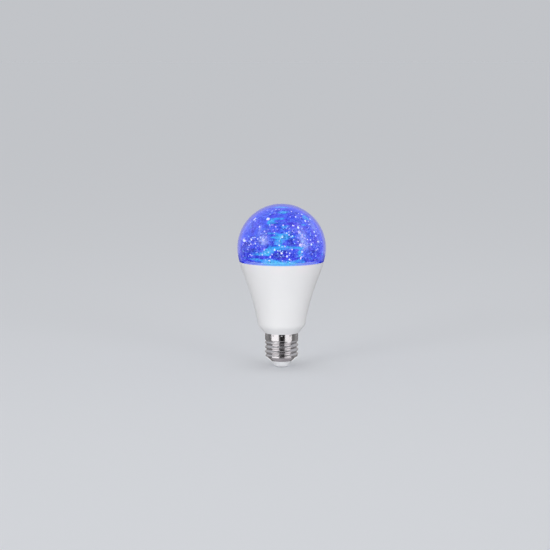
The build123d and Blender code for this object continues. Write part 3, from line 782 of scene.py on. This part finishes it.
def housing_plastic(settings):
    """The housing's white plastic, with faint painted light of the globe in blue and pink spots just under
    the seam.
    """
    finish = moulded_plastic("white_plastic", settings.housing, 0.42, grain=1400.0, depth=0.008 * MM)
    white = finish.shader.inputs["Base Color"].links[0].from_socket
    # Painted light: blue and pink spots of the globe's light, fading away below the seam
    near = finish.span(finish.height(), seam_z - settings.painted_glow_reach, seam_z, to_high=settings.painted_glow_share)
    patches = finish.span(finish.noise(scale=150, detail=1.0), 0.42, 0.62)
    pinker = finish.span(finish.noise(scale=45, detail=1.0), 0.4, 0.6)
    hue = finish.mix(pinker, tuple(settings.painted_glow_blue), tuple(settings.painted_glow_pink))
    finish.set(base_color=finish.mix(finish.math("MULTIPLY", near, patches), white, hue))
    return finish.material


def plated_metal(name, colour_value, roughness, rings=2600.0):
    """Bright plated sheet: rolled rings in its gloss, and a little tarnish in patches."""
    finish = Finish(name, metallic=1.0)
    rolled = finish.noise(1, detail=2.0, stretch=(18, 18, rings))
    tarnish = finish.span(finish.noise(scale=130, detail=4.0), 0.45, 0.75)
    finish.set(
        base_color=finish.mix(tarnish, tuple(colour_value), shade(colour_value, TARNISH_SHADE)),
        roughness=finish.span(rolled, 0.25, 0.75, roughness, roughness + METAL_GLOSS),
    )
    finish.bump(rolled, depth=0.004 * MM, strength=0.35)
    return finish.material


def board_lacquer(name, colour_value, track_value):
    """Lacquered circuit board: tracks a little lighter than the lacquer, and a smooth gloss."""
    finish = Finish(name, roughness=0.35)
    tracks = finish.span(finish.cells(260, "Distance", stretch=(1, 1, 0.35)), 0.28, 0.34)
    finish.set(base_color=finish.mix(tracks, tuple(colour_value), tuple(track_value)))
    finish.bump(tracks, depth=0.03 * MM, strength=0.5)
    return finish.material


def wound_tape(name, colour_value):
    """Tape wound round a coil: bands a few millimetres wide that overlap."""
    finish = Finish(name, roughness=0.4)
    bands = finish.noise(1, detail=1.0, stretch=(20, 420, 20))
    overlaps = finish.span(bands, 0.4, 0.6)
    overlap_colour = shade(colour_value, OVERLAP_SHADE)
    finish.set(base_color=finish.mix(overlaps, tuple(colour_value), overlap_colour))
    finish.bump(bands, depth=0.05 * MM, strength=0.5)
    return finish.material


def striped_sleeve(name, colour_value, stripe_value, stripe_x=2.6 * MM, edge=0.2 * MM):
    """Shrunk sleeve on a capacitor can, with one pale stripe down its side."""
    finish = Finish(name, roughness=0.33)
    side = finish.add("ShaderNodeSeparateXYZ", {0: finish.coordinates}).outputs["X"]
    stripe = finish.span(side, stripe_x, stripe_x + edge)
    finish.set(base_color=finish.mix(stripe, tuple(colour_value), tuple(stripe_value)))
    finish.bump(finish.noise(scale=240, detail=3.0), depth=0.03 * MM, strength=0.4)
    return finish.material


def dress(material, *nodes):
    """Put a material on CAD nodes, which keep their shape and place."""
    for name in nodes:
        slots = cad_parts[name].material_slots
        if not slots:
            raise RuntimeError(f"{name} has no material slot to dress")
        for slot in slots:
            slot.material = material


# Pieces


class BULB_OT_globe(bpy.types.Operator):
    """Clear globe, which shows the liner inside it"""

    bl_idname = "bulb.globe"
    bl_label = "Clear globe"

    def execute(self, context):
        settings = context.scene.bulb_globe
        piece = add_piece(globe_mesh(settings), "clear_plastic", "clear_dome")
        piece.data.materials.append(clear_plastic(settings))
        return {"FINISHED"}


class BULB_OT_liner(bpy.types.Operator):
    """Lit liner with its facets, glints and patches of light"""

    bl_idname = "bulb.liner"
    bl_label = "Sparkle liner"

    def execute(self, context):
        settings = context.scene.bulb_liner
        piece = add_piece(liner_mesh(settings), "sparkle_plastic", "sparkle_liner")
        piece.data.materials.append(sparkle_plastic(settings))
        return {"FINISHED"}


class BULB_OT_housing(bpy.types.Operator):
    """White moulded finish of the housing, and the seal under the globe"""

    bl_idname = "bulb.housing"
    bl_label = "Housing"

    def execute(self, context):
        settings = context.scene.bulb_finish
        dress(housing_plastic(settings), "housing")
        dress(moulded_plastic("silicone", settings.silicone, 0.6).material, "dome_seal")
        return {"FINISHED"}


class BULB_OT_cap(bpy.types.Operator):
    """Finishes of the screw cap: plated shell, pale insulator and end contact"""

    bl_idname = "bulb.cap"
    bl_label = "Screw cap"

    def execute(self, context):
        settings = context.scene.bulb_finish
        dress(plated_metal("nickel", settings.nickel, 0.1), "screw_shell")
        dress(plated_metal("contact_nickel", settings.nickel, 0.2, rings=300.0), "contact_pin", "link_pins")
        dress(moulded_plastic("insulator_plastic", settings.insulator, 0.38).material, "cap_insulator")
        return {"FINISHED"}


class BULB_OT_light_plate(bpy.types.Operator):
    """Finishes of the plate under the liner: heat sink, LED board, LEDs, screws and socket"""

    bl_idname = "bulb.light_plate"
    bl_label = "Light plate"

    def execute(self, context):
        settings = context.scene.bulb_finish
        dress(plated_metal("aluminium", settings.aluminium, 0.32, rings=900.0), "heat_sink_cup")
        dress(board_lacquer("white_board", settings.white_lacquer, settings.white_tracks), "led_board")
        dress(moulded_plastic("led_body", settings.led_body, 0.45).material, "led_packages")
        dress(moulded_plastic("led_fill", settings.led_fill, 0.12).material, "led_windows")
        dress(plated_metal("steel", settings.steel, 0.25, rings=600.0), "board_screws")
        black = moulded_plastic("black_plastic", settings.black_plastic, 0.4).material
        dress(black, "led_socket", "pin_header")
        return {"FINISHED"}


class BULB_OT_driver(bpy.types.Operator):
    """Finishes of the driver board, its components and the two wires"""

    bl_idname = "bulb.driver"
    bl_label = "Driver"

    def execute(self, context):
        settings = context.scene.bulb_finish
        dress(board_lacquer("green_board", settings.green_lacquer, settings.green_tracks), "driver_board")
        sleeve = striped_sleeve("can_sleeve", settings.can_sleeve, settings.can_stripe)
        dress(sleeve, "input_capacitor", "output_capacitor")
        ferrite = moulded_plastic("ferrite", settings.ferrite, 0.55, grain=500.0, depth=0.03 * MM)
        dress(ferrite.material, "transformer_core")
        dress(wound_tape("coil_tape", settings.coil_tape), "transformer_coil")
        chip = moulded_plastic("chip_plastic", settings.chip_plastic, 0.5, grain=700.0, depth=0.02 * MM)
        chip_nodes = ("bridge_rectifier", "supply_chip", "colour_controller", "colour_transistors")
        dress(chip.material, *chip_nodes)
        dress(moulded_plastic("resistor_paint", settings.resistor_paint, 0.35).material, "fuse_resistor")
        live = moulded_plastic("live_insulation", settings.live_insulation, 0.4)
        neutral = moulded_plastic("neutral_insulation", settings.neutral_insulation, 0.4)
        dress(live.material, "live_wire")
        dress(neutral.material, "neutral_wire")
        return {"FINISHED"}


# Stage


def stage_object(mesh, material):
    """Object that isn't part of the bulb."""
    made = bpy.data.objects.new(mesh.name, mesh)
    made.data.materials.append(material)
    bpy.context.scene.collection.objects.link(made)
    return made


def add_floor(settings):
    """Plain square floor, with its corners at half its width each way. Polished pieces don't mirror it."""
    half = settings.floor_half
    mesh = bpy.data.meshes.new("floor")
    corners = [(-half, -half, 0), (half, -half, 0), (half, half, 0), (-half, half, 0)]
    mesh.from_pydata(corners, [], [(0, 1, 2, 3)])
    paint = tuple(settings.floor)
    finish = Finish("floor_paint", base_color=paint, roughness=0.7, specular_ior_level=0.0)
    floor = stage_object(mesh, finish.material)
    floor.visible_glossy = False


# Nodes of the screw cap
CAP_NODES = ("screw_shell", "contact_pin", "cap_insulator")
# Radius of the cards round the bulb, and columns of points in each
CARD_RADIUS = 1.2
CARD_COLUMNS = 24
# Cards round the bulb that only the polished cap mirrors: name, angles from the camera's side, bottom,
# top, strength, and how far the light fades towards the two sides
CAP_CARDS = (
    ("white_card_left", -74, -19, -1.0, 0.3, 1.35, 0.0),
    ("white_card_high_left", -74, -22, 0.3, 1.1, 1.35, 1.0),
    ("dark_card_front", -18, 23, -1.0, 2.6, 0.02, 0.0),
    ("white_card_right", 24, 74, -1.0, 0.3, 1.2, 0.0),
    ("grey_card_left", -165, -82, -1.0, -0.1, 0.33, 0.5),
    ("grey_card_right", 82, 165, -1.0, -0.1, 0.33, 0.5),
    ("white_card_high_right", 26, 76, 0.3, 1.1, 1.2, 1.0),
    ("white_card_rear", 166, 194, -1.0, -0.1, 1.3, 0.0),
)
# The card behind the globe, which every polished piece mirrors
REAR_CARD = ("grey_card_rear", 140, 220, -0.1, 1.1, 0.52, 0.0)


def lit_nodes(name, nodes):
    """Collection of CAD nodes, for a card or lamp that lights nothing else."""
    found = bpy.data.collections.new(name)
    for node in nodes:
        found.objects.link(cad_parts[node])
    return found


def add_card(receivers, name, low_angle, high_angle, low_z, high_z, strength, fade):
    """Upright curved card: (r sin a, -r cos a, z), with the angle a and the height z on a grid.

    Its light is strength * (1 - fade * cos(pi t)^2), where t runs from 0 at one side to 1 at the other.
    """
    t = np.linspace(0, 1, CARD_COLUMNS)
    angle = np.radians(low_angle + (high_angle - low_angle) * t)
    x, y = CARD_RADIUS * np.sin(angle), -CARD_RADIUS * np.cos(angle)
    low = np.stack([x, y, np.full(CARD_COLUMNS, low_z)], axis=-1)
    points = np.concatenate([low, low + [0, 0, high_z - low_z]])
    here = np.arange(CARD_COLUMNS - 1)
    above = here + CARD_COLUMNS
    faces = np.stack([here, here + 1, above + 1, above], axis=-1)
    mesh = bpy.data.meshes.new(name)
    mesh.from_pydata(points.tolist(), [], faces.tolist())
    light = np.tile(strength * (1 - fade * np.cos(pi * t) ** 2), 2)
    mesh.attributes.new("light", "FLOAT", "POINT").data.foreach_set("value", light)
    finish = Finish(name, base_color=(0, 0, 0), specular_ior_level=0.0, emission_color=(1.0, 1.0, 1.0))
    finish.set(emission_strength=finish.carried("light"))
    card = stage_object(mesh, finish.material)
    card.visible_camera = False
    card.visible_diffuse = False
    card.visible_transmission = False
    card.visible_shadow = False
    card.light_linking.receiver_collection = receivers


# Lamps: name, angle from the camera's side, height angle, size, spread of the beam, share of the power
LAMPS = (
    ("left_lamp", -40, 10, 0.8, 70, 1.0),
    ("right_lamp", 36, 9, 0.8, 70, 0.89),
    ("low_lamp", -4, 1, 0.3, 30, 0.1),
)
# The lamp behind the bulb, which leaves the floor as it is
REAR_LAMP = ("rear_lamp", 180, 12, 0.8, 70, 1.5)
# Distance of each lamp from the bulb's middle
LAMP_DISTANCE = 1.8


def aim(thing, place, target):
    """Put a lamp or camera at a place and point it at a target."""
    thing.location = place
    thing.rotation_euler = (Vector(target) - Vector(place)).to_track_quat("-Z", "Y").to_euler()
    bpy.context.scene.collection.objects.link(thing)


def around_bulb(azimuth, elevation, distance, target):
    """Place at a distance from a target, by its angle from the camera's side and its height angle."""
    a, e = radians(azimuth), radians(elevation)
    away = Vector((sin(a) * cos(e), -cos(a) * cos(e), sin(e)))
    return Vector(target) + away * distance


def add_lamp(power, receivers, name, azimuth, elevation, size, spread, share):
    """Soft square lamp that points at the bulb's middle. It isn't mirrored or seen through the globe."""
    lamp = bpy.data.lights.new(name, "AREA")
    lamp.size = size
    lamp.spread = radians(spread)
    lamp.energy = power * share
    made = bpy.data.objects.new(name, lamp)
    made.visible_camera = False
    made.visible_glossy = False
    made.visible_transmission = False
    made.light_linking.receiver_collection = receivers
    target = (0, 0, bulb_top_z / 2)
    aim(made, around_bulb(azimuth, elevation, LAMP_DISTANCE, target), target)


# Tones that polished pieces mirror over the backdrop: two rises, from -1 straight down to 1 straight up,
# the share of the tone at each, and its colour
MIRRORED_TONES = (
    (-0.25, 0.3, 1.0, 0.0, (0.2, 0.2, 0.2)),
    (0.82, 0.92, 0.0, 1.0, (0.15, 0.15, 0.15)),
    (-0.5, -0.4, 1.0, 0.0, (0.09, 0.085, 0.09)),
    (-0.72, -0.6, 1.0, 0.0, (0.42, 0.41, 0.43)),
)


def add_world(settings):
    """Soft light from all round. The backdrop is what is seen, and polished pieces mirror its tones."""
    world = bpy.data.worlds.new("soft_studio")
    world.use_nodes = True
    bpy.context.scene.world = world
    nodes = Nodes(world.node_tree)
    path = nodes.add("ShaderNodeLightPath").outputs
    direction = nodes.add("ShaderNodeTexCoord").outputs["Generated"]
    rise = nodes.add("ShaderNodeSeparateXYZ", {0: direction}).outputs["Z"]
    backdrop = shade(settings.floor, settings.ambient)
    mirrored = backdrop
    for low, high, low_share, high_share, tone in MIRRORED_TONES:
        share = nodes.span(rise, low, high, low_share, high_share)
        mirrored = nodes.mix(share, mirrored, tone)
    light = nodes.mix(path["Is Glossy Ray"], (settings.ambient,) * 3, mirrored)
    seen = nodes.math("MAXIMUM", path["Is Camera Ray"], path["Is Transmission Ray"])
    sky = world.node_tree.nodes["Background"]
    nodes.join(sky.inputs["Color"], nodes.mix(seen, light, backdrop))


def add_camera(settings):
    """Camera at the photograph's angle and framing."""
    camera = bpy.data.cameras.new("camera")
    camera.lens = settings.lens
    camera.sensor_width = settings.sensor
    made = bpy.data.objects.new("camera", camera)
    target = (settings.aim_x, 0, settings.aim_z)
    away = Vector((0, -cos(CAMERA_ELEVATION), sin(CAMERA_ELEVATION)))
    aim(made, Vector(target) + away * settings.distance, target)
    bpy.context.scene.camera = made


class BULB_OT_stage(bpy.types.Operator):
    """Pale floor, soft light, and a camera at the photograph's angle"""

    bl_idname = "bulb.stage"
    bl_label = "Stage"

    def execute(self, context):
        settings = context.scene.bulb_stage
        add_floor(settings)
        cap = lit_nodes("cap_nodes", CAP_NODES)
        for card in CAP_CARDS:
            add_card(cap, *card)
        add_card(None, *REAR_CARD)
        for lamp in LAMPS:
            add_lamp(settings.lamp_power, None, *lamp)
        outside = lit_nodes("outer_nodes", ("housing", *CAP_NODES))
        add_lamp(settings.lamp_power, outside, *REAR_LAMP)
        add_world(settings)
        add_camera(settings)
        context.scene.view_settings.view_transform = "Standard"
        return {"FINISHED"}


# Add-on


class BULB_PT_pieces(bpy.types.Panel):
    """The bulb's settings, and a button for each of its pieces"""

    bl_idname = "BULB_PT_pieces"
    bl_label = "Bulb"
    bl_space_type = "VIEW_3D"
    bl_region_type = "UI"
    bl_category = "Bulb"

    def draw(self, context):
        for group in setting_groups:
            settings = getattr(context.scene, group)
            for name in settings.bl_rna.properties.keys():
                if name not in ("rna_type", "name"):
                    self.layout.prop(settings, name)
        for operator in operators:
            self.layout.operator(operator.bl_idname)


setting_groups = {
    "bulb_globe": GlobeSettings,
    "bulb_liner": LinerSettings,
    "bulb_finish": FinishSettings,
    "bulb_stage": StageSettings,
}
operators = (
    BULB_OT_globe,
    BULB_OT_liner,
    BULB_OT_housing,
    BULB_OT_cap,
    BULB_OT_light_plate,
    BULB_OT_driver,
    BULB_OT_stage,
)
classes = (*setting_groups.values(), *operators, BULB_PT_pieces)


def register():
    """Add the bulb's settings, operators and panel."""
    for made in classes:
        bpy.utils.register_class(made)
    for name, group in setting_groups.items():
        setattr(bpy.types.Scene, name, PointerProperty(type=group))


def unregister():
    """Take them away again, in the other order."""
    for name in setting_groups:
        delattr(bpy.types.Scene, name)
    for made in reversed(classes):
        bpy.utils.unregister_class(made)


def main():
    """Make the bulb and its stage."""
    register()
    bpy.ops.bulb.globe()
    bpy.ops.bulb.liner()
    bpy.ops.bulb.housing()
    bpy.ops.bulb.cap()
    bpy.ops.bulb.light_plate()
    bpy.ops.bulb.driver()
    bpy.ops.bulb.stage()


if __name__ == "__main__":
    main()
